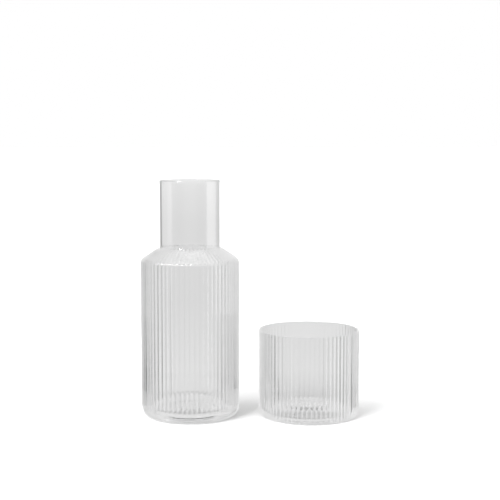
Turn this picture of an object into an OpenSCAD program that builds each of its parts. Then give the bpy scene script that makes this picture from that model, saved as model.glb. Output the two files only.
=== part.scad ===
// Bedside carafe with its tumbler, both blown in clear glass with fine upright ribs.
// The tumbler stands beside the carafe. Turned over, it fits over the neck and rests on the shoulder.
// Origin: middle of the carafe's base, on the table. +Z is up and +X points to the tumbler.

/* [Carafe] */
// Height of the carafe, from the table to its rim
carafe_h = 200; // [180:0.5:230]
// Diameter of the body, over the crests of its ribs
body_d = 83.3; // [74:0.1:95]
// Height of the smooth neck, from its root to the rim
neck_h = 56.4; // [42:0.1:75]
// Outer diameter of the neck
neck_d = 51.3; // [44:0.1:56]
// Slope of the shoulder below level, in degrees
shoulder_slope = 35; // [25:1:45]
// Radius of the rounded corner between body and shoulder
corner_r = 4.5; // [3:0.1:7]
// Radius of the smooth heel between body and base
heel_r = 6.6; // [4:0.1:8]
// Radius of the small hollow bend at the root of the neck
root_r = 1.5; // [0.8:0.1:3]

/* [Carafe glass] */
// Thickness of the body's wall between two ribs
body_wall = 1.9; // [1.4:0.1:2.6]
// Thickness of the neck's wall
neck_wall = 1.7; // [1.4:0.1:2.4]
// Thickness of the base
base_t = 5.4; // [4:0.1:9]
// Radius of the inside corner between wall and base
floor_bend_r = 6; // [4:0.1:10]
// How far the fire-polished rim stands out from the neck
bead_out = 0.3; // [0.1:0.05:0.6]
// Radius of the rim's outer edge
bead_r = 1; // [0.8:0.05:1.2]
// Diameter of the shallow hollow under the base
hollow_d = 58; // [40:0.5:60]
// Depth of the shallow hollow under the base
hollow_h = 0.9; // [0.4:0.1:2]

/* [Tumbler] */
// How far the mouth's inner edge lies inside the body's widest line, so that it rests on the shoulder
seat_lap = 0.85; // [0.5:0.05:1.5]
// Room left over the carafe's rim when the tumbler covers the neck
head_room = 3.7; // [1:0.1:20]
// Thickness of the tumbler's wall between two ribs
cup_wall = 1.35; // [1.1:0.05:2]
// Thickness of the tumbler's base
cup_base_t = 2.7; // [2:0.1:6]
// Radius of the tumbler's bottom edge
cup_heel_r = 3.4; // [2:0.1:6]
// Radius of the inside corner between wall and base
cup_floor_bend_r = 4; // [2:0.1:8]
// Radius of the outer edge of the tumbler's rim
cup_lip_r = 0.6; // [0.4:0.05:0.8]
// Gap between the carafe and the tumbler as they stand side by side
standing_gap = 16.7; // [6:0.1:60]
// Diameter of the shallow hollow under the tumbler
cup_hollow_d = 62; // [40:0.5:64]
// Depth of the shallow hollow under the tumbler
cup_hollow_h = 0.6; // [0.3:0.1:1.2]

/* [Ribs] */
// Ribs round the carafe
carafe_ribs = 66; // [48:1:72]
// Ribs round the tumbler
cup_ribs = 70; // [48:1:76]
// Height of a rib, from the glass between two ribs to its crest
rib_h = 0.45; // [0.2:0.05:0.6]
// Length over which the ribs rise out of smooth glass
rib_fade = 3; // [1:0.1:8]

/* [Hidden] */
$fn = 128;
// Points along one rib's width
rib_points = 4;
// Segments of a bend that is turned about the axis
bend_steps = 10;
// How far cutting shapes run past what they cut
overrun = 2;
// Level ring left between the two rounded edges of a rim
rim_flat = 0.25;
// Width and height of the step where the smooth neck stands on the ribbed shoulder
root_step = 0.05;
// Share of its full height that a rib has at each step of a bend or fade
smooth_shares = [0, 0, 0, 0];
full_shares = [1, 1, 1, 1, 1];
cup_heel_shares = [0, 0.55, 0.9, 1];
cup_lip_shares = [1, 0.7, 0];
// Places of the rings on the shoulder, as shares of its slope from the corner to the root
slope_shares = [0.4, 0.8];
// Places of the points across the hollow under a base, as shares of its radius
hollow_shares = [1, 0.85, 0.65, 0.4, 0];

// Carafe: the bare glass is the surface between two ribs, and the ribs stand on it.
body_r = body_d / 2;
bare_r = body_r - rib_h;
body_in_r = bare_r - body_wall;
neck_r = neck_d / 2;
neck_in_r = neck_r - neck_wall;
root_z = carafe_h - neck_h;
// Angle of the shoulder's outward normal above level
slope_lean = 90 - shoulder_slope;
// Middle of the corner's bend: its radius reaches the body's crests and the shoulder's crests
corner_mid = [
    body_r - corner_r,
    root_z + (rib_h - corner_r) / cos(shoulder_slope)
        - (body_r - corner_r - neck_r) * tan(shoulder_slope)
];
corner_end = corner_mid + (corner_r - rib_h) * [cos(slope_lean), sin(slope_lean)];
// Bend at the neck's root: it runs out of the shoulder's slope into the upright neck
root_mid_r = neck_r + root_r;
root_end_r = root_mid_r - root_r * cos(slope_lean);
root_end = [root_end_r, root_z - (root_end_r - neck_r) * tan(shoulder_slope)];
root_mid = root_end + root_r * [cos(slope_lean), sin(slope_lean)];
// Inside, the wall keeps its thickness round the corner, and a small bend is left at least
least_bend_r = 0.8;
in_corner_r = max(corner_r - rib_h - body_wall, least_bend_r);
in_slope_z = root_z - body_wall / cos(shoulder_slope);
in_corner_mid = [
    body_in_r - in_corner_r,
    in_slope_z - in_corner_r / cos(shoulder_slope)
        - (body_in_r - in_corner_r - neck_r) * tan(shoulder_slope)
];
neck_in_z = in_slope_z + (neck_r - neck_in_r) * tan(shoulder_slope);
mouth_r = neck_wall + bead_out - bead_r - rim_flat;

// Tumbler: its mouth is sized to rest on the corner, and its depth to clear the neck.
cup_in_r = body_r - seat_lap;
cup_bare_r = cup_in_r + cup_wall;
cup_r = cup_bare_r + rib_h;
seat_z = corner_mid.y + sqrt(corner_r * corner_r - pow(cup_in_r - corner_mid.x, 2));
cup_h = carafe_h - seat_z + head_room + cup_base_t;
cup_x = body_r + standing_gap + cup_r;
cup_mouth_r = cup_wall - cup_lip_r - rim_flat;

// Points along a round bend
function bend(mid, r, from, to, steps = bend_steps) =
    [for (i = [0:steps]) mid + r * [cos(from + (to - from) * i / steps),
                                    sin(from + (to - from) * i / steps)]];

// Stations along a round bend of a ribbed skin. A station is [point on the bare glass,
// angle of the outward normal above level, share of the full rib height].
function ribbed_bend(mid, r, from, to, shares) =
    let (places = bend(mid, r, from, to, len(shares) - 1))
    [for (i = [0:len(shares) - 1]) [places[i], from + (to - from) * i / (len(shares) - 1), shares[i]]];

// Outline of the shallow hollow under a base: a parabola closed below the table
function hollow_outline(r, h) = concat(
    [[0, -overrun], [r, -overrun]],
    [for (share = hollow_shares) [r * share, h * (1 - share * share)]]
);

// One ring of points at a station: the ribs stand on the bare glass as half waves, square to it
function ring(station, ribs) =
    [for (i = [0:ribs * rib_points - 1])
        let (turn = 360 * i / (ribs * rib_points),
             rise = rib_h * station[2] * abs(sin(180 * i / rib_points)),
             at = station[0] + rise * [cos(station[1]), sin(station[1])])
        [at.x * cos(turn), at.x * sin(turn), at.y]];

// A closed solid through a ring at each station, with flat ends
module ribbed_solid(stations, ribs) {
    n = ribs * rib_points;
    rings = len(stations);
    polyhedron(
        points = [for (station = stations) each ring(station, ribs)],
        faces = concat(
            [[for (i = [0:n - 1]) i]],
            [[for (i = [n - 1:-1:0]) (rings - 1) * n + i]],
            [for (j = [0:rings - 2]) for (i = [0:n - 1])
                [j * n + i, (j + 1) * n + i, (j + 1) * n + (i + 1) % n]],
            [for (j = [0:rings - 2]) for (i = [0:n - 1])
                [j * n + i, (j + 1) * n + (i + 1) % n, j * n + (i + 1) % n]]
        )
    );
}

// The ribbed outside of the carafe, up to the root of the neck
module carafe_body() {
    slope_run = root_end - corner_end;
    ribbed_solid(concat(
        ribbed_bend([bare_r - heel_r, heel_r], heel_r, -90, 0, smooth_shares),
        [[[bare_r, heel_r + rib_fade], 0, 1]],
        ribbed_bend(corner_mid, corner_r - rib_h, 0, slope_lean, full_shares),
        [for (share = slope_shares)
            let (at = corner_end + share * slope_run) [at, slope_lean, at.x / bare_r]],
        [[root_end + [root_step, -root_step * tan(shoulder_slope)], slope_lean, 0]]
    ), carafe_ribs);
}

// The smooth neck, solid, with its rounded rim
module carafe_neck() {
    rim_mid = [neck_r + bead_out - bead_r, carafe_h - bead_r];
    rotate_extrude() polygon(concat(
        [[0, root_end.y - overrun], [root_end.x, root_end.y - overrun]],
        bend(root_mid, root_r, slope_lean - 180, -180),
        bend(rim_mid, bead_r, -acos(1 - bead_out / bead_r), 90),
        [[0, carafe_h]]
    ));
}

// Everything inside the carafe's glass
module carafe_hollow() {
    rotate_extrude() polygon(concat(
        [[0, base_t]],
        bend([body_in_r - floor_bend_r, base_t + floor_bend_r], floor_bend_r, -90, 0),
        bend(in_corner_mid, in_corner_r, 0, slope_lean),
        [[neck_in_r, neck_in_z]],
        bend([neck_in_r + mouth_r, carafe_h - mouth_r], mouth_r, 180, 90),
        [[neck_in_r + mouth_r, carafe_h + overrun], [0, carafe_h + overrun]]
    ));
}

module carafe() color([0.86, 0.91, 0.92, 0.45]) difference() {
    union() {
        carafe_body();
        carafe_neck();
    }
    carafe_hollow();
    rotate_extrude() polygon(hollow_outline(hollow_d / 2, hollow_h));
}

// The ribbed outside of the tumbler, with its ribs run out over the heel and the rim
module cup_body() {
    ribbed_solid(concat(
        ribbed_bend([cup_bare_r - cup_heel_r, cup_heel_r], cup_heel_r, -90, 0, cup_heel_shares),
        ribbed_bend([cup_bare_r - cup_lip_r, cup_h - cup_lip_r], cup_lip_r, 0, 90, cup_lip_shares)
    ), cup_ribs);
}

// Everything inside the tumbler's glass
module cup_hollow() {
    rotate_extrude() polygon(concat(
        [[0, cup_base_t]],
        bend([cup_in_r - cup_floor_bend_r, cup_base_t + cup_floor_bend_r], cup_floor_bend_r, -90, 0),
        bend([cup_in_r + cup_mouth_r, cup_h - cup_mouth_r], cup_mouth_r, 180, 90),
        [[cup_in_r + cup_mouth_r, cup_h + overrun], [0, cup_h + overrun]]
    ));
}

module tumbler() color([0.9, 0.93, 0.94, 0.45]) translate([cup_x, 0, 0]) difference() {
    cup_body();
    cup_hollow();
    rotate_extrude() polygon(hollow_outline(cup_hollow_d / 2, cup_hollow_h));
}

carafe();
tumbler();
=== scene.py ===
import math

import bpy
import numpy as np
from bpy.props import FloatProperty, FloatVectorProperty, IntProperty, PointerProperty
from bpy.types import Operator, Panel, PropertyGroup
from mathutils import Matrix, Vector


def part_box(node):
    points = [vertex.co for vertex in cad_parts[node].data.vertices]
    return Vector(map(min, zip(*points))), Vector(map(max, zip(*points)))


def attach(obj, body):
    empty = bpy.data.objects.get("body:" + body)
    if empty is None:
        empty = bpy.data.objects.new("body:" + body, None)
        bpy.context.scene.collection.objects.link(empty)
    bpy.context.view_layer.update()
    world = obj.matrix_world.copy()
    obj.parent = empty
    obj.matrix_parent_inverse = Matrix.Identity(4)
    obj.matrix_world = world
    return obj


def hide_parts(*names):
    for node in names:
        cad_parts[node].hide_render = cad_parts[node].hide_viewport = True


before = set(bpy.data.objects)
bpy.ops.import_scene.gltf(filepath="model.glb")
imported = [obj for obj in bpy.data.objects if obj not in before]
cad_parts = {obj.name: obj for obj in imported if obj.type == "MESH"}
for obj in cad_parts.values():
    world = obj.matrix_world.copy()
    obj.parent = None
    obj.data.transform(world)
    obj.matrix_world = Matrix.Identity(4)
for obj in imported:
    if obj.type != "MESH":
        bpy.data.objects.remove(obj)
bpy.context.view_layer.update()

bl_info = {
    "name": "Ribbed Carafe and Tumbler",
    "version": (1, 0, 0),
    "blender": (4, 5, 0),
    "location": "3D View > Sidebar > Glassware",
    "description": "Blows a ribbed carafe and its tumbler as closed walls of glass, and sets a pale studio",
    "category": "Add Mesh",
}

_, CARAFE_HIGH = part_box("carafe")
TUMBLER_LOW, TUMBLER_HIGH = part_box("tumbler")
TUMBLER_AXIS = (TUMBLER_LOW.x + TUMBLER_HIGH.x) / 2
MM = 0.001
RIGHT_ANGLE = math.pi / 2


def length(name, description, default):
    """A property that holds a length in metres."""
    return FloatProperty(name=name, description=description, default=default,
                         min=0.0, precision=5, unit="LENGTH", subtype="DISTANCE")


class CarafeSizes(PropertyGroup):
    """Sizes of the carafe. Its height and width come from the frame."""
    height: length("Height", "From the table to the rim", CARAFE_HIGH.z)
    body_radius: length("Body radius", "Over the crests of the ribs", CARAFE_HIGH.y)
    neck_radius: length("Neck radius", "Outside of the smooth neck", 25.65 * MM)
    neck_height: length("Neck height", "From the root to the rim", 56.4 * MM)
    shoulder_slope: FloatProperty(
        name="Shoulder slope", description="Slope of the shoulder below level",
        default=math.radians(35), subtype="ANGLE", unit="ROTATION")
    corner_radius: length("Corner radius", "Rounded corner between body and shoulder", 4.5 * MM)
    heel_radius: length("Heel radius", "Smooth heel between body and base", 6.6 * MM)
    root_radius: length("Root radius", "Hollow bend at the root of the neck", 1.5 * MM)
    inner_root_radius: length("Inner root radius", "Rounding where the neck opens inside", 1.6 * MM)
    body_wall: length("Body wall", "Thickness between two ribs", 1.9 * MM)
    neck_wall: length("Neck wall", "Thickness of the neck", 1.7 * MM)
    base_thickness: length("Base thickness", "Glass under the floor", 5.4 * MM)
    floor_bend_radius: length("Floor bend", "Inside corner between wall and base", 6 * MM)
    bead: length("Bead", "How far the fire-polished rim stands out", 0.3 * MM)
    bead_radius: length("Bead radius", "Outer edge of the rim", 1 * MM)
    hollow_radius: length("Hollow radius", "Shallow hollow under the base", 29 * MM)
    hollow_height: length("Hollow height", "Depth of that hollow", 0.9 * MM)
    ribs: IntProperty(name="Ribs", description="Ribs round the body", default=66, min=12)


class TumblerSizes(PropertyGroup):
    """Sizes of the tumbler. Its place, height and width come from the frame."""
    axis_x: length("Axis", "Distance from the carafe's axis", TUMBLER_AXIS)
    height: length("Height", "From the table to the rim", TUMBLER_HIGH.z)
    radius: length("Radius", "Over the crests of the ribs", TUMBLER_HIGH.y)
    wall: length("Wall", "Thickness between two ribs", 1.35 * MM)
    base_thickness: length("Base thickness", "Glass under the floor", 2.7 * MM)
    heel_radius: length("Heel radius", "Bottom edge", 3.4 * MM)
    floor_bend_radius: length("Floor bend", "Inside corner between wall and base", 4 * MM)
    lip_radius: length("Lip radius", "Outer edge of the rim", 0.6 * MM)
    hollow_radius: length("Hollow radius", "Shallow hollow under the base", 31 * MM)
    hollow_height: length("Hollow height", "Depth of that hollow", 0.6 * MM)
    ribs: IntProperty(name="Ribs", description="Ribs round the tumbler", default=70, min=12)


class RibSizes(PropertyGroup):
    """Form of one rib and of the blown wall behind it."""
    height: length("Rib height", "From the glass between two ribs to a crest", 0.45 * MM)
    fade: length("Fade", "Length over which ribs rise out of smooth glass", 3 * MM)
    valley_softness: FloatProperty(
        name="Valley softness", description="How far fire polishing has rounded the valleys",
        default=0.015, min=0.0, max=1.0)
    crowding: FloatProperty(
        name="Crowding", description="How strongly the points of a rib crowd at its valleys",
        default=0.09, min=0.0, max=0.15)
    drift: length("Drift", "How far the blown inner wall wanders from a true round", 0.02 * MM)


class GlassLook(PropertyGroup):
    """Finish of the clear glass."""
    tint: FloatVectorProperty(name="Tint", description="Faint tint of the metal in the pot",
                              subtype="COLOR", size=3, default=(0.99, 0.99, 0.99))
    ior: FloatProperty(name="Refraction", description="Index of refraction of soda-lime glass",
                       default=1.51, min=1.0, max=2.0)
    ripple_scale: FloatProperty(name="Ripple scale", description="Ripples of the blown glass in a metre",
                                default=60.0, min=0.0)
    ripple_depth: length("Ripple depth", "Depth of the ripples of the blown glass", 0.02 * MM)
    haze: FloatProperty(name="Haze", description="Roughness where the glass is least polished",
                        default=0.02, min=0.0, max=1.0, subtype="FACTOR")
    shade: FloatVectorProperty(name="Shade", description="Share of lamp light that one face lets through",
                               subtype="COLOR", size=3, default=(0.70, 0.70, 0.70))


class StudioSettings(PropertyGroup):
    """Floor and lights."""
    floor_colour: FloatVectorProperty(name="Floor", description="Colour of the plain floor",
                                      subtype="COLOR", size=3, default=(0.95, 0.95, 0.95))
    key_strength: FloatProperty(name="Key light", description="Light of the key on a floor square to it",
                                default=2.36, min=0.0)
    fill: FloatProperty(name="Fill", description="Light that the plain studio gives from all round",
                        default=0.5, min=0.0)
    key_angle: FloatProperty(
        name="Key size", description="Width of the soft key light as seen from the glass",
        default=math.radians(42), subtype="ANGLE", unit="ROTATION")
    floor_white: FloatProperty(
        name="White share", description="Share of plain white in the floor as the camera sees it",
        default=0.25, min=0.0, max=1.0, subtype="FACTOR")


# Outlines. A stretch is an array of stations, one row each: radius, height, lean, rib share,
# drift share. Lean is the angle of the outward normal above level.

# Stations nearer to each other than this are one
SAME_PLACE = 1e-7
# Level ring left between the two rounded edges of a rim
RIM_FLAT = 0.25 * MM
# Share of the shoulder's slope at which its ribs begin to run out
SHOULDER_FADE_SHARE = 0.8
# How suddenly the tumbler's ribs run out, as powers: late round the heel, late over the lip
HEEL_POWER = 5
LIP_POWER = 3
# Share of the drift that is left in the bend between wall and floor, and at the tumbler's rim
BEND_DRIFT_SHARE = 0.5
RIM_DRIFT_SHARE = 0.3


def arc(mid, radius, start, end, steps, hollow=False, rib=0.0, drift=0.0):
    """Stations round a bend: mid + radius * (cos t, sin t) for t from start to end in equal steps.
    On a hollow bend the glass lies outside the circle, so the normal points to its middle."""
    t = np.linspace(start, end, steps + 1)
    lean = t + math.pi if hollow else t
    return np.column_stack([mid[0] + radius * np.cos(t), mid[1] + radius * np.sin(t), lean,
                            np.full_like(t, rib), np.full_like(t, drift)])


def straight(start, end, lean, steps, rib=(0.0, 0.0), drift=(0.0, 0.0)):
    """Stations along a straight line from start to end, with both shares changing evenly."""
    s = np.linspace(0.0, 1.0, steps + 1)
    ends = [(start[0], end[0]), (start[1], end[1]), rib, drift]
    radius, height, rib, drift = (first + (last - first) * s for first, last in ends)
    return np.column_stack([radius, height, np.full_like(s, lean), rib, drift])


def under_base(radius, height, steps=5):
    """Stations from the middle of the shallow hollow under a base to its edge: a parabola,
    height * (1 - s^2) at the share s of its radius."""
    s = np.linspace(0.0, 1.0, steps + 1)
    zero = np.zeros_like(s)
    lean = -RIGHT_ANGLE - np.arctan(2 * height * s / radius)
    return np.column_stack([radius * s, height * (1 - s * s), lean, zero, zero])


def joined(stretches):
    """All stretches as one outline, without the stations that two of them share."""
    outline = np.vstack(stretches)
    step = np.linalg.norm(np.diff(outline[:, :2], axis=0), axis=1)
    return outline[np.concatenate([[True], step > SAME_PLACE])]


def fade(stretch, rise=True):
    """The stretch with its ribs rising smoothly from nothing, share * (3 s^2 - 2 s^3), or
    sinking to nothing the same way."""
    s = np.linspace(0.0, 1.0, len(stretch))
    if not rise:
        s = 1.0 - s
    stretch[:, 3] *= s * s * (3 - 2 * s)
    return stretch


def shoulder(c):
    """Lean of the shoulder's outward normal, that normal, and its slope's tangent and cosine."""
    lean = RIGHT_ANGLE - c.shoulder_slope
    normal = np.array([math.cos(lean), math.sin(lean)])
    return lean, normal, math.tan(c.shoulder_slope), math.cos(c.shoulder_slope)


def carafe_outside(c, ribs):
    """The carafe's outline from the middle of its underside, up the outside, to the top of the rim."""
    lean, normal, tan, cos = shoulder(c)
    bare_r = c.body_radius - ribs.height
    root_z = c.height - c.neck_height
    mid_r = c.body_radius - c.corner_radius
    corner = np.array([mid_r, root_z + (ribs.height - c.corner_radius) / cos
                       - (mid_r - c.neck_radius) * tan])
    corner_r = c.corner_radius - ribs.height
    corner_end = corner + corner_r * normal
    root_end_r = c.neck_radius + c.root_radius * (1 - normal[0])
    root_end = np.array([root_end_r, root_z - (root_end_r - c.neck_radius) * tan])
    root_mid = root_end + c.root_radius * normal
    fade_at = corner_end + (root_end - corner_end) * SHOULDER_FADE_SHARE
    bead_mid = (c.neck_radius + c.bead - c.bead_radius, c.height - c.bead_radius)
    # the bead runs into the neck by a hollow bend of twice its radius
    bead_bend = 2 * c.bead_radius
    bead_start = -math.acos(1 - c.bead / (c.bead_radius + bead_bend))
    bead_bend_mid = (c.neck_radius + bead_bend,
                     bead_mid[1] + (c.bead_radius + bead_bend) * math.sin(bead_start))
    ribs_start = (bare_r, c.heel_radius)
    ribs_full = (bare_r, c.heel_radius + ribs.fade)
    # the cone narrows, and its ribs get lower with it
    corner_rib, fade_rib = corner_end[0] / bare_r, fade_at[0] / bare_r
    return [
        under_base(c.hollow_radius, c.hollow_height),
        straight((c.hollow_radius, 0), (bare_r - c.heel_radius, 0), -RIGHT_ANGLE, 2),
        arc((bare_r - c.heel_radius, c.heel_radius), c.heel_radius, -RIGHT_ANGLE, 0, 9),
        fade(straight(ribs_start, ribs_full, 0, 5, rib=(1, 1))),
        straight(ribs_full, (bare_r, corner[1]), 0, 8, rib=(1, 1)),
        arc(corner, corner_r, 0, lean, 7, rib=1),
        straight(corner_end, fade_at, lean, 4, rib=(corner_rib, fade_rib)),
        fade(straight(fade_at, root_end, lean, 4, rib=(fade_rib, fade_rib)), rise=False),
        arc(root_mid, c.root_radius, lean - math.pi, -math.pi, 5, hollow=True),
        straight((c.neck_radius, root_mid[1]), (c.neck_radius, bead_bend_mid[1]), 0, 3),
        arc(bead_bend_mid, bead_bend, math.pi, math.pi + bead_start, 4, hollow=True),
        arc(bead_mid, c.bead_radius, bead_start, RIGHT_ANGLE, 9),
    ]


def carafe_inside(c, ribs):
    """The carafe's outline from the top of the rim, down the inside, to the middle of the floor.
    The wall keeps its thickness round the corner of the shoulder."""
    lean, normal, tan, cos = shoulder(c)
    neck_r = c.neck_radius - c.neck_wall
    body_r = c.body_radius - ribs.height - c.body_wall
    mouth_r = c.neck_wall + c.bead - c.bead_radius - RIM_FLAT
    slope_z = c.height - c.neck_height - c.body_wall / cos
    # the glass is rounded where the neck opens into the shoulder, with its middle in the glass
    root_r = c.inner_root_radius
    root_mid = (neck_r + root_r, slope_z + (c.neck_radius - neck_r - root_r) * tan + root_r / cos)
    root_end = np.array(root_mid) - root_r * normal
    corner_r = c.corner_radius - ribs.height - c.body_wall
    corner = (body_r - corner_r, slope_z - corner_r / cos - (body_r - corner_r - c.neck_radius) * tan)
    corner_end = np.array(corner) + corner_r * normal
    floor_mid = (body_r - c.floor_bend_radius, c.base_thickness + c.floor_bend_radius)
    return [
        arc((neck_r + mouth_r, c.height - mouth_r), mouth_r, RIGHT_ANGLE, math.pi, 5),
        straight((neck_r, c.height - mouth_r), (neck_r, root_mid[1]), math.pi, 5, drift=(0, 1)),
        arc(root_mid, root_r, math.pi, math.pi + lean, 5, drift=1),
        straight(root_end, corner_end, math.pi + lean, 4, drift=(1, 1)),
        arc(corner, corner_r, lean, 0, 5, hollow=True, drift=1),
        straight((body_r, corner[1]), (body_r, floor_mid[1]), math.pi, 16, drift=(1, 1)),
        arc(floor_mid, c.floor_bend_radius, 0, -RIGHT_ANGLE, 9, hollow=True, drift=BEND_DRIFT_SHARE),
        straight((floor_mid[0], c.base_thickness), (0, c.base_thickness), RIGHT_ANGLE, 6),
    ]


def tumbler_outline(t, ribs):
    """The tumbler's outline, from the middle of its underside round to the middle of its floor.
    The ribs run out over the bottom edge and over the rim."""
    bare_r = t.radius - ribs.height
    in_r = bare_r - t.wall
    mouth_r = t.wall - t.lip_radius - RIM_FLAT
    heel = arc((bare_r - t.heel_radius, t.heel_radius), t.heel_radius, -RIGHT_ANGLE, 0, 8)
    heel[:, 3] = 1 - np.cos(np.linspace(0, RIGHT_ANGLE, len(heel))) ** HEEL_POWER
    lip = arc((bare_r - t.lip_radius, t.height - t.lip_radius), t.lip_radius, 0, RIGHT_ANGLE, 6)
    lip[:, 3] = 1 - np.linspace(0, 1, len(lip)) ** LIP_POWER
    floor_mid = (in_r - t.floor_bend_radius, t.base_thickness + t.floor_bend_radius)
    return joined([
        under_base(t.hollow_radius, t.hollow_height),
        straight((t.hollow_radius, 0), (bare_r - t.heel_radius, 0), -RIGHT_ANGLE, 2),
        heel,
        straight((bare_r, t.heel_radius), (bare_r, t.height - t.lip_radius), 0, 8, rib=(1, 1)),
        lip,
        arc((in_r + mouth_r, t.height - mouth_r), mouth_r, RIGHT_ANGLE, math.pi, 5),
        straight((in_r, t.height - mouth_r), (in_r, floor_mid[1]), math.pi, 14,
                 drift=(RIM_DRIFT_SHARE, 1)),
        arc(floor_mid, t.floor_bend_radius, 0, -RIGHT_ANGLE, 8, hollow=True, drift=BEND_DRIFT_SHARE),
        straight((floor_mid[0], t.base_thickness), (0, t.base_thickness), RIGHT_ANGLE, 6),
    ])


# Points along one rib's width
RIB_POINTS = 12
# Step of angle, in radians, over which the slope round the axis is measured
SLOPE_STEP = 1e-5
# Waves that make up the drift: how many, their lobes round the axis (from the first number to
# under the second), their pitch up it in metres, and about the most that their sum reaches
DRIFT_WAVES = 6
DRIFT_LOBES = (1, 8)
DRIFT_PITCH = (0.03, 0.11)
DRIFT_SUM = 2.5


def drift_field(angle, height, size, seed):
    """How far the blown wall wanders: a sum of seeded waves round the axis and up it, each
    sin(lobes * angle + 2 pi height / pitch + phase) times the cosine of a random slant."""
    rng = np.random.default_rng(seed)
    total = np.zeros(np.broadcast(angle, height).shape)
    for _ in range(DRIFT_WAVES):
        lobes = rng.integers(*DRIFT_LOBES)
        pitch = rng.uniform(*DRIFT_PITCH)
        phase, slant = rng.uniform(0, 2 * math.pi, 2)
        total += np.sin(lobes * angle + 2 * math.pi * height / pitch + phase) * np.cos(slant)
    return size * total / DRIFT_SUM


def blown_push(outline, angle, ribs, sizes, seed):
    """How far the skin is pushed out square to its outline at each angle: the drift, and the
    ribs as rounded half waves, (sqrt(sin^2 + s^2) - s) / (sqrt(1 + s^2) - s) with s the
    softness of the valleys."""
    height, _, rib, drift = (outline[1:-1, i][:, None] for i in range(1, 5))
    soft = sizes.valley_softness
    wave = np.sqrt(np.sin(ribs * angle / 2) ** 2 + soft * soft) - soft
    return (sizes.height * rib * wave / (math.hypot(1, soft) - soft)
            + drift * drift_field(angle, height, sizes.drift, seed))


def blown_normals(outline, push, turn, slope_round):
    """Outward normals of the blown surface, one a point: the outline's own normal, less the
    slope of the push round the axis times the sideways direction, less its slope along the
    outline times the outline's direction. The two poles come last."""
    radius, height, lean = (outline[:, i] for i in range(3))
    along = np.concatenate([[0.0], np.cumsum(np.hypot(np.diff(radius), np.diff(height)))])
    slope_round = slope_round / radius[1:-1, None]
    slope_along = np.gradient(push, along[1:-1], axis=0)
    lean = lean[1:-1, None]
    out = np.cos(lean) + slope_along * np.sin(lean)
    up = np.sin(lean) - slope_along * np.cos(lean)
    normal = np.stack([out * np.cos(turn) + slope_round * np.sin(turn),
                       out * np.sin(turn) - slope_round * np.cos(turn), up], axis=2)
    normal = normal / np.linalg.norm(normal, axis=2, keepdims=True)
    poles = [(0.0, 0.0, -1.0), (0.0, 0.0, 1.0)]
    return np.vstack([normal.reshape(-1, 3), poles])


def turned_faces(rings, count):
    """Faces of a grid of rings of count points each, with a fan at each of the two poles, whose
    points come after the grid. All of them point outwards."""
    here = np.arange(count)
    after = np.roll(here, -1)
    start = np.arange(rings - 1)[:, None] * count
    quads = np.stack([start + here, start + after, start + count + after, start + count + here], axis=2)
    last = (rings - 1) * count
    first_pole = rings * count
    fans = np.vstack([
        np.column_stack([np.full(count, first_pole), after, here]),
        np.column_stack([np.full(count, first_pole + 1), last + here, last + after]),
    ])
    return quads.reshape(-1, 4).tolist() + fans.tolist()


def blown_piece(name, outline, ribs, sizes, axis_x, seed):
    """A closed solid of glass turned about an upright axis. Grid of two parameters: the angle
    round the axis and the place along the outline, pushed out square to it by the ribs and the
    drift. The points of a rib crowd at its valleys: place u of its width is moved to
    u - c sin(2 pi u). The outline's two ends lie on the axis and close as poles."""
    count = ribs * RIB_POINTS
    place = np.arange(count) / RIB_POINTS
    turn = (place - sizes.crowding * np.sin(2 * math.pi * place)) * 2 * math.pi / ribs
    push, after, before = (blown_push(outline, turn + step, ribs, sizes, seed)
                           for step in (0.0, SLOPE_STEP, -SLOPE_STEP))
    slope_round = (after - before) / (2 * SLOPE_STEP)
    radius, height, lean = (outline[1:-1, i][:, None] for i in range(3))
    out = radius + push * np.cos(lean)
    up = height + push * np.sin(lean)
    grid = np.stack([axis_x + out * np.cos(turn), out * np.sin(turn), up], axis=2)
    poles = [(axis_x, 0.0, outline[0, 1]), (axis_x, 0.0, outline[-1, 1])]
    mesh = bpy.data.meshes.new(name)
    mesh.from_pydata(np.vstack([grid.reshape(-1, 3), poles]), [], turned_faces(len(radius), count))
    mesh.shade_smooth()
    mesh.normals_split_custom_set_from_vertices(blown_normals(outline, push, turn, slope_round))
    piece = bpy.data.objects.new(name, mesh)
    bpy.context.scene.collection.objects.link(piece)
    return piece


# Small builders of shader nodes

def feed(tree, socket, value):
    """Links another node's output to a socket, or sets the socket's own value."""
    if isinstance(value, bpy.types.NodeSocket):
        tree.links.new(value, socket)
    else:
        socket.default_value = value


def new_node(tree, kind, inputs=None, **settings):
    """A shader node with its settings by name and its inputs by name or place."""
    made = tree.nodes.new("ShaderNode" + kind)
    for name, value in settings.items():
        setattr(made, name, value)
    for place, value in (inputs or {}).items():
        feed(tree, made.inputs[place], value)
    return made


def maths(tree, operation, first, second=0.0):
    """The result of one step of arithmetic on one or two values."""
    return new_node(tree, "Math", {0: first, 1: second}, operation=operation).outputs[0]


def rising(tree, value, start, full, share=1.0):
    """A share that is 0 where value is at start, rises evenly to its most where value is at full,
    and is held beyond both. Full may lie below start."""
    return new_node(tree, "MapRange", {
        0: value, "From Min": start, "From Max": full, "To Max": share}).outputs[0]


def shader_mix(tree, share, first, second):
    """The first shader, with the second in its place to the given share."""
    return new_node(tree, "MixShader", {0: share, 1: first, 2: second}).outputs[0]


def grey_mix(tree, share, first, second):
    """The first grey, with the second, a socket or a number, in its place to the given share."""
    if not isinstance(second, bpy.types.NodeSocket):
        second = (second, second, second, 1)
    made = new_node(tree, "Mix", {"Factor": share, "A": first, "B": second}, data_type="RGBA")
    return made.outputs["Result"]


def grey_ramp(tree, along, places):
    """A grey at each place from 0 to 1, changing evenly between them and held past the ends."""
    made = new_node(tree, "ValToRGB", {0: along})
    elements = made.color_ramp.elements
    while len(elements) < len(places):
        elements.new(0.5)
    for element, (place, value) in zip(elements, places):
        element.position = place
        element.color = (value, value, value, 1)
    return made.outputs[0]


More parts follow.
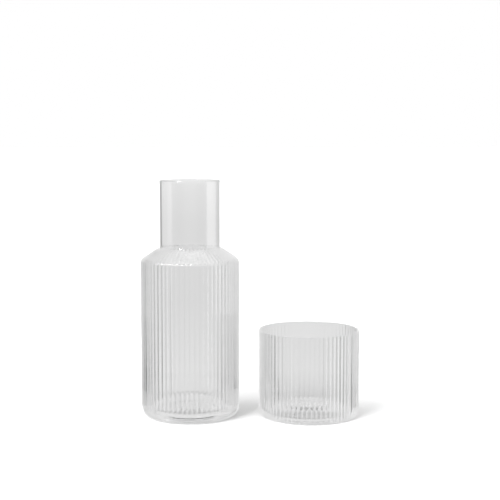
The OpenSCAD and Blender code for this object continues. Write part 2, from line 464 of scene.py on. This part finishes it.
def bare_material(name):
    """A new material, its node tree and its surface socket, with no other node in it."""
    material = bpy.data.materials.new(name)
    material.use_nodes = True
    tree = material.node_tree
    tree.nodes.clear()
    return material, tree, new_node(tree, "OutputMaterial").inputs["Surface"]


# Height of the ripples at which haze begins, and at which it is full
HAZE_RIPPLES = (0.5, 0.8)


def clear_glass(look):
    """Clear glass: faint blown ripples in its normal, haze where they are high, and a clear
    shadow that each face of the glass deepens."""
    material = bpy.data.materials.get("blown_glass")
    if material:
        return material
    material, tree, surface = bare_material("blown_glass")
    where = new_node(tree, "TexCoord")
    ripple = new_node(tree, "TexNoise", {
        "Vector": where.outputs["Object"], "Scale": look.ripple_scale, "Detail": 1.0}).outputs["Fac"]
    bump = new_node(tree, "Bump", {"Strength": 1.0, "Distance": look.ripple_depth, "Height": ripple})
    glass = new_node(tree, "BsdfPrincipled", {
        "Base Color": (*look.tint, 1), "Roughness": 0.0, "IOR": look.ior,
        "Transmission Weight": 1.0, "Normal": bump.outputs[0]})
    feed(tree, glass.inputs["Roughness"], rising(tree, ripple, *HAZE_RIPPLES, look.haze))
    shade = new_node(tree, "BsdfTransparent", {"Color": (*look.shade, 1)})
    ray = new_node(tree, "LightPath").outputs
    feed(tree, surface, shader_mix(tree, ray["Is Shadow Ray"], glass.outputs[0], shade.outputs[0]))
    return material


class GLASSWARE_OT_blow_carafe(Operator):
    """Blow the carafe: ribbed body and shoulder, smooth neck, heel and rim"""
    bl_idname = "glassware.blow_carafe"
    bl_label = "Blow Carafe"

    def execute(self, context):
        scene = context.scene
        sizes = scene.carafe_sizes
        outline = joined(carafe_outside(sizes, scene.rib_sizes) + carafe_inside(sizes, scene.rib_sizes))
        piece = blown_piece("carafe_glass", outline, sizes.ribs, scene.rib_sizes, 0.0, seed=3)
        piece.data.materials.append(clear_glass(scene.glass_look))
        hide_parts("carafe")
        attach(piece, "carafe")
        return {"FINISHED"}


class GLASSWARE_OT_blow_tumbler(Operator):
    """Blow the tumbler: ribs from the bottom edge to the rim"""
    bl_idname = "glassware.blow_tumbler"
    bl_label = "Blow Tumbler"

    def execute(self, context):
        scene = context.scene
        sizes = scene.tumbler_sizes
        outline = tumbler_outline(sizes, scene.rib_sizes)
        piece = blown_piece("tumbler_glass", outline, sizes.ribs, scene.rib_sizes, sizes.axis_x, seed=8)
        piece.data.materials.append(clear_glass(scene.glass_look))
        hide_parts("tumbler")
        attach(piece, "tumbler")
        return {"FINISHED"}


# The floor lies just under the bases. Its height, and half its width, in metres
FLOOR_Z = -0.1 * MM
FLOOR_HALF = 40.0
# Painted shade: dark spots painted on the floor under the bases, which glass shows in place of their
# shadow, as (x, y, radius, soft edge; how dark), in metres
PAINTED_SHADE_SPOTS = [
    (TUMBLER_AXIS, 14 * MM, 9 * MM, 2 * MM, 1.0),
    (0.0, 6 * MM, 4 * MM, 1 * MM, 0.8),
]
# Brightness of the painted shade under the bases
PAINTED_SHADE_LEVEL = 0.1
# A ray meets the painted shade spots only when it has passed more faces of glass than this
PAINTED_SHADE_FACES = 3


def white_floor(settings):
    """A plain floor: white to the camera apart from its shadows. It is clear to glass, which
    shows the studio in the same direction, apart from spots of painted shade under the bases: a dark glow
    in place of their shadow."""
    material, tree, surface = bare_material("studio_floor")
    ray = new_node(tree, "LightPath").outputs
    diffuse = new_node(tree, "BsdfDiffuse", {"Color": (*settings.floor_colour, 1)})
    white = new_node(tree, "Emission", {"Color": (1, 1, 1, 1)})
    lit = shader_mix(tree, settings.floor_white, diffuse.outputs[0], white.outputs[0])
    clear = new_node(tree, "BsdfTransparent").outputs[0]
    # painted shade: a dark glow that glass shows on the floor under the bases, in place of their shadow
    painted_shade = new_node(tree, "Emission", {"Color": (PAINTED_SHADE_LEVEL, PAINTED_SHADE_LEVEL, PAINTED_SHADE_LEVEL, 1)})
    where = new_node(tree, "TexCoord")
    with_painted_shade = clear
    for x, y, radius, edge, share in PAINTED_SHADE_SPOTS:
        away = new_node(tree, "VectorMath", {0: where.outputs["Object"], 1: (x, y, FLOOR_Z)},
                        operation="DISTANCE").outputs["Value"]
        shade_spot_mask = rising(tree, away, radius + edge, radius - edge, share)
        with_painted_shade = shader_mix(tree, shade_spot_mask, with_painted_shade, painted_shade.outputs[0])
    through_base = maths(tree, "GREATER_THAN", ray["Transmission Depth"], PAINTED_SHADE_FACES)
    glassy = shader_mix(tree, through_base, clear, with_painted_shade)
    feed(tree, surface, shader_mix(tree, ray["Is Camera Ray"], glassy, lit))
    return material


# The studio. Rings are (degrees from straight behind the object, clockwise seen from above;
# brightness or share). Heights are upward parts of the direction.

# Brightness that the outer faces of the glass mirror
MIRRORED_RING = [
    (28, 1.1), (33, 0.4), (58, 0.4), (63, 2.0), (108, 2.6), (111, 0.0), (247, 0.0), (250, 1.9),
    (275, 1.0), (302, 1.0), (307, 0.0), (322, 0.0), (327, 1.5), (342, 1.5), (350, 1.1),
]
# What shows through glass, as the share of the pale panels' brightness, where 0 is a gap between
# two panels. The sides and the front are the same at every height.
SIDES = [
    (69, 1.0), (111, 1.0), (125, 0.5), (145, 0.5), (160, 1.0), (200, 1.0), (215, 0.5), (235, 0.5),
    (249, 1.0), (291, 0.9), (295, 0.0), (299, 0.0),
]
UPPER_RING = [
    (18, 1.0), (31, 0.5), (43, 0.5), (49, 0.8), (56, 0.8), (59, 0.1), (64, 0.1), *SIDES,
    (302, 0.8), (308, 0.8), (312, 0.0), (325, 0.0), (339, 1.0),
]
LOWER_RING = [
    (4, 1.0), (10, 0.5), (16, 0.5), (22, 0.95), (30, 0.0), (43, 0.0), (49, 0.9), (56, 0.9),
    (59, 0.0), (64, 0.0), *SIDES,
    (304, 0.9), (311, 0.9), (315, 0.0), (328, 0.0), (336, 0.95), (343, 0.5), (350, 0.5), (356, 1.0),
]
# Height where the upper ring begins to give way to the lower one, and where the lower is full
RING_CHANGE = (-0.20, -0.235)
# Brightness of the pale panels and of the gaps, as (height, brightness)
PALE_HEIGHTS = [
    (-0.30, 0.84), (-0.21, 0.82), (-0.14, 0.74), (-0.07, 0.76), (-0.02, 0.86), (0.10, 0.86),
]
GAP_HEIGHTS = [(-0.30, 0.04), (-0.20, 0.05), (-0.15, 0.38), (-0.04, 0.42), (0.10, 0.42)]
# Above and below the ring, as (height where it starts, height where it is full; its share there,
# brightness). Glass shows a pale dome and, in two steps, a pale floor. It mirrors a pale dome, a
# bright ceiling and a pale floor.
SHOWN_HEIGHTS = [(0.12, 0.30, 0.50, 0.80), (-0.27, -0.36, 0.40, 0.80), (-0.45, -0.65, 1.00, 0.80)]
MIRRORED_HEIGHTS = [(0.12, 0.30, 0.70, 1.00), (0.80, 0.95, 1.00, 2.60), (-0.27, -0.36, 0.70, 0.80)]

# Patches, as (first and last degree, soft edge either way in degrees, limits). A limit is the
# height where the patch starts and the height where it is full.
# Dimmer room in front, above the horizon
ROOM_IN_FRONT = (149, 211, 3, [(0.04, 0.10)])
ROOM_IN_FRONT_LEVEL = 0.5
# Unlit room over the backdrop
ROOM_BEHIND = (335, 15, 3, [(0.26, 0.30), (0.66, 0.54)])
ROOM_BEHIND_LEVEL = 0.05
# Soft window at the front left, as outer faces mirror it and as it shows through glass
WINDOW = (204, 232, 1, [(0.52, 0.56), (0.80, 0.76)])
WINDOW_MIRRORED = 31.0
WINDOW_SHOWN = 4.0


def ring(tree, turn, places):
    """A grey that changes round the horizon."""
    return grey_ramp(tree, turn, [(degrees / 360, value) for degrees, value in places])


def column(tree, up, places):
    """A grey that changes with height."""
    lowest, highest = places[0][0], places[-1][0]
    share = rising(tree, up, lowest, highest)
    return grey_ramp(tree, share, [((height - lowest) / (highest - lowest), value)
                                   for height, value in places])


def above_and_below(tree, up, level, heights):
    """The level, with other greys in its place far above and below the horizon."""
    for start, full, share, value in heights:
        level = grey_mix(tree, rising(tree, up, start, full, share), level, value)
    return level


def patch(tree, turn, up, place):
    """The share of a soft-edged patch: 1 inside it and 0 outside. It may run across degree 0."""
    first, last, edge, limits = place
    share = ring(tree, turn, sorted([(first - edge, 0.0), (first + edge, 1.0),
                                     (last - edge, 1.0), (last + edge, 0.0)]))
    for start, full in limits:
        share = maths(tree, "MULTIPLY", share, rising(tree, up, start, full))
    return share


def studio_world(scene):
    """Backdrop and panels: white to the camera. Glass shows pale panels with dark gaps all
    round, by the direction that it looks in, and mirrors brighter ones at the sides."""
    world = bpy.data.worlds.new("studio")
    scene.world = world
    world.use_nodes = True
    tree = world.node_tree
    tree.nodes.clear()
    ray = new_node(tree, "LightPath").outputs
    where = new_node(tree, "TexCoord")
    direction = new_node(tree, "SeparateXYZ", {0: where.outputs["Generated"]}).outputs
    up = direction["Z"]
    angle = maths(tree, "ARCTAN2", direction["X"], direction["Y"])
    turn = maths(tree, "FRACT", maths(tree, "DIVIDE", angle, 2 * math.pi))

    shares = grey_mix(tree, rising(tree, up, *RING_CHANGE),
                      ring(tree, turn, UPPER_RING), ring(tree, turn, LOWER_RING))
    shown = grey_mix(tree, shares, column(tree, up, GAP_HEIGHTS), column(tree, up, PALE_HEIGHTS))
    shown = above_and_below(tree, up, shown, SHOWN_HEIGHTS)
    shown = grey_mix(tree, patch(tree, turn, up, ROOM_IN_FRONT), shown, ROOM_IN_FRONT_LEVEL)
    shown = grey_mix(tree, patch(tree, turn, up, ROOM_BEHIND), shown, ROOM_BEHIND_LEVEL)
    mirrored = above_and_below(tree, up, ring(tree, turn, MIRRORED_RING), MIRRORED_HEIGHTS)
    window = patch(tree, turn, up, WINDOW)
    mirrored = grey_mix(tree, window, mirrored, WINDOW_MIRRORED)
    shown = grey_mix(tree, window, shown, WINDOW_SHOWN)

    level = grey_mix(tree, ray["Is Transmission Ray"], mirrored, shown)
    # the floor gets one even light from all round, and the camera sees plain white
    scattered = maths(tree, "MINIMUM", ray["Diffuse Depth"], 1.0)
    level = grey_mix(tree, scattered, level, scene.studio_settings.fill)
    level = grey_mix(tree, ray["Is Camera Ray"], level, 1.0)
    studio = new_node(tree, "Background", {"Color": level})
    feed(tree, new_node(tree, "OutputWorld").inputs["Surface"], studio.outputs[0])


# The key lamp shines from this direction, above at the left and a little in front
KEY_DIRECTION = (-0.85, -0.32, 1.0)
# Camera: place in metres, degrees that it looks below level, lens and sensor in millimetres
CAMERA_PLACE = (50.8 * MM, -950.1 * MM, 232.3 * MM)
CAMERA_DOWN = 5.5
CAMERA_LENS = 81.33
CAMERA_SENSOR = 36
# Most bounces of light in the glass, and most clear faces that it crosses on its way
GLASS_BOUNCES = 96
CLEAR_FACES = 32


def plain_floor(scene, settings):
    """The floor: one large square."""
    half, z = FLOOR_HALF, FLOOR_Z
    mesh = bpy.data.meshes.new("floor")
    mesh.from_pydata([(-half, -half, z), (half, -half, z), (half, half, z), (-half, half, z)],
                     [], [(0, 1, 2, 3)])
    mesh.materials.append(white_floor(settings))
    floor = bpy.data.objects.new("floor", mesh)
    scene.collection.objects.link(floor)


def key_light(scene, settings):
    """A wide soft lamp. It lights the floor, and glass neither shows nor mirrors it."""
    light = bpy.data.lights.new("key_light", "SUN")
    light.angle = settings.key_angle
    light.energy = settings.key_strength
    lamp = bpy.data.objects.new("key_light", light)
    lamp.visible_transmission = False
    lamp.visible_glossy = False
    lamp.location = KEY_DIRECTION
    lamp.rotation_euler = (-Vector(KEY_DIRECTION)).to_track_quat("-Z", "Y").to_euler()
    scene.collection.objects.link(lamp)


def set_camera(scene):
    """The camera in front of the set, looking a little down."""
    camera = bpy.data.cameras.new("camera")
    camera.lens = CAMERA_LENS
    camera.sensor_width = CAMERA_SENSOR
    view = bpy.data.objects.new("camera", camera)
    view.location = CAMERA_PLACE
    view.rotation_euler = (math.radians(90 - CAMERA_DOWN), 0, 0)
    scene.collection.objects.link(view)
    scene.camera = view


class GLASSWARE_OT_set_stage(Operator):
    """Set the plain floor, the studio light and the camera"""
    bl_idname = "glassware.set_stage"
    bl_label = "Set Stage"

    def execute(self, context):
        scene = context.scene
        plain_floor(scene, scene.studio_settings)
        studio_world(scene)
        key_light(scene, scene.studio_settings)
        set_camera(scene)
        scene.view_settings.view_transform = "Standard"
        scene.cycles.max_bounces = GLASS_BOUNCES
        scene.cycles.transmission_bounces = GLASS_BOUNCES
        scene.cycles.glossy_bounces = GLASS_BOUNCES
        scene.cycles.transparent_max_bounces = CLEAR_FACES
        scene.cycles.denoising_input_passes = "RGB"
        scene.cycles.caustics_reflective = False
        scene.cycles.caustics_refractive = False
        return {"FINISHED"}


class GLASSWARE_PT_set(Panel):
    """Sizes, glass and steps of the carafe set"""
    bl_label = "Ribbed Carafe and Tumbler"
    bl_space_type = "VIEW_3D"
    bl_region_type = "UI"
    bl_category = "Glassware"

    def draw(self, context):
        scene = context.scene
        for title, group in (("Carafe", scene.carafe_sizes), ("Tumbler", scene.tumbler_sizes),
                             ("Ribs", scene.rib_sizes), ("Glass", scene.glass_look),
                             ("Studio", scene.studio_settings)):
            box = self.layout.box()
            box.label(text=title)
            for name in group.__annotations__:
                box.prop(group, name)
        for step in STEPS:
            self.layout.operator(step.bl_idname)


GROUPS = {
    "carafe_sizes": CarafeSizes,
    "tumbler_sizes": TumblerSizes,
    "rib_sizes": RibSizes,
    "glass_look": GlassLook,
    "studio_settings": StudioSettings,
}
STEPS = (GLASSWARE_OT_blow_carafe, GLASSWARE_OT_blow_tumbler, GLASSWARE_OT_set_stage)


def register():
    """Adds the settings, the steps and the panel."""
    for name, group in GROUPS.items():
        bpy.utils.register_class(group)
        setattr(bpy.types.Scene, name, PointerProperty(type=group))
    for step in (*STEPS, GLASSWARE_PT_set):
        bpy.utils.register_class(step)


def unregister():
    """Takes them away again, last first."""
    for step in (GLASSWARE_PT_set, *reversed(STEPS)):
        bpy.utils.unregister_class(step)
    for name, group in reversed(GROUPS.items()):
        delattr(bpy.types.Scene, name)
        bpy.utils.unregister_class(group)


def main():
    """Makes the set and its stage."""
    register()
    bpy.ops.glassware.blow_carafe()
    bpy.ops.glassware.blow_tumbler()
    bpy.ops.glassware.set_stage()


if __name__ == "__main__":
    main()
